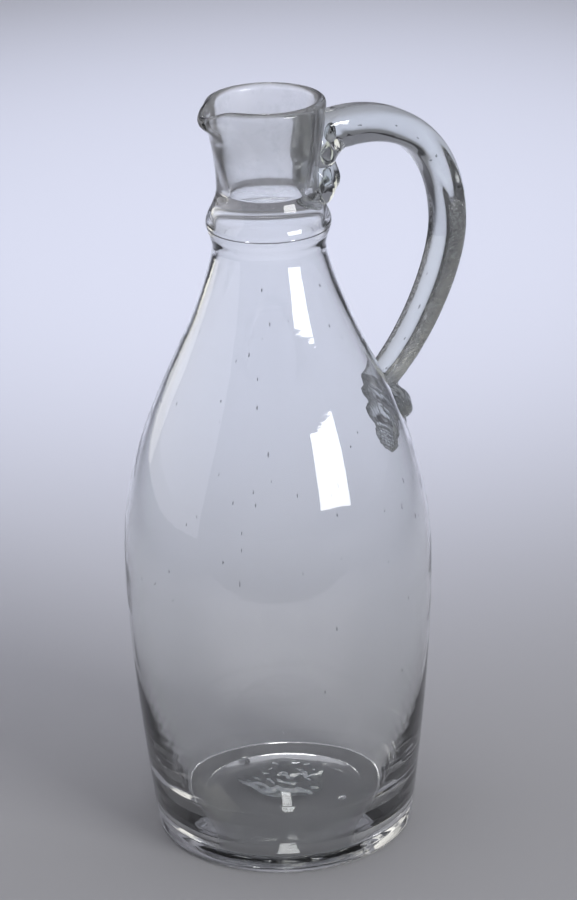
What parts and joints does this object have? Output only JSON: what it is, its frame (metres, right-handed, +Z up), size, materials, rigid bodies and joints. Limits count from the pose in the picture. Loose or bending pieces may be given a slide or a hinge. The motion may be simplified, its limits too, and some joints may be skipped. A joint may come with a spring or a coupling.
{
  "type": "glass cruet",
  "caption": "Free-blown clear glass cruet with a collared mouth, pulled pouring lip, ground bore, strap handle and thick foot.",
  "frame": {"origin": "centre of the whole cruet's footprint box, on the plane that the foot rests on; the vessel's axis stands 8.29 mm from it towards -X, because the handle widens the box on the +X side", "axes": "+Z up along the vessel's axis; +X towards the handle, in the plane that the handle and the pouring lip share; +Y across that plane"},
  "size_m": [0.0928, 0.0762, 0.19],
  "materials": {
    "blown_glass": "clear, fire polished, with faint seeds and twist",
    "ground_mouth_glass": "fire polished outside, ground matt in the bore",
    "applied_handle_glass": "clear, fire polished",
    "broken_glass": "rough, as snapped off"
  },
  "bodies": {
    "root": {"body": "blown_glass", "mouth": "ground_mouth_glass", "handle": "applied_handle_glass", "pontil_scar": "broken_glass"}
  },
  "joints": []
}
